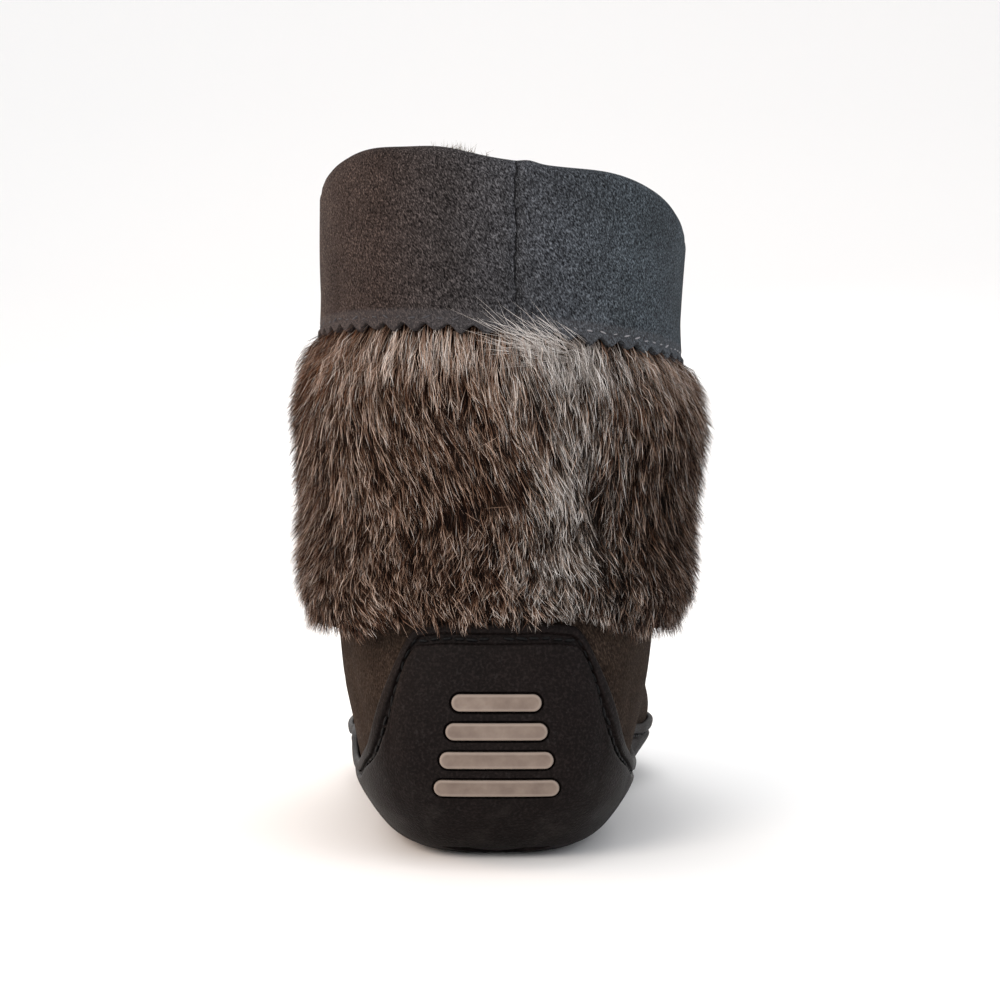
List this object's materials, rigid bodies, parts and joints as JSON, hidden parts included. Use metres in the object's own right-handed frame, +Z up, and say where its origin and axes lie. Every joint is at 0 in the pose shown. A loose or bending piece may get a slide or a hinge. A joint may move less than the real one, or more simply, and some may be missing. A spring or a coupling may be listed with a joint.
{
  "type": "mukluk boot",
  "caption": "Short slip-on mukluk for a left foot: suede foot and shaft, deep fur band, turned suede cuff with a pinked edge, rubber cup sole with a raised heel panel.",
  "frame": {"origin": "on the floor, under the middle of the boot's box", "axes": "+Y from heel to toe, +X to the inner side of the left foot, +Z up"},
  "size_m": [0.1398, 0.2768, 0.2093],
  "materials": {
    "sole_rubber": "matte moulded black rubber, lightly scuffed and dusty",
    "inlay_rubber": "smooth tan rubber",
    "foot_suede": "dark brown-grey napped suede",
    "cuff_suede": "dark grey napped suede with light flecks",
    "fur": "long grey-brown fur, dark underneath with pale tips",
    "fleece": "undyed curly fleece"
  },
  "bodies": {
    "root": {"outsole": "sole_rubber", "footbed": "fleece", "upper": "foot_suede", "fur_band": "fur", "cuff": "cuff_suede", "heel_inlay_1": "inlay_rubber", "heel_inlay_2": "inlay_rubber", "heel_inlay_3": "inlay_rubber", "heel_inlay_4": "inlay_rubber"}
  },
  "joints": []
}
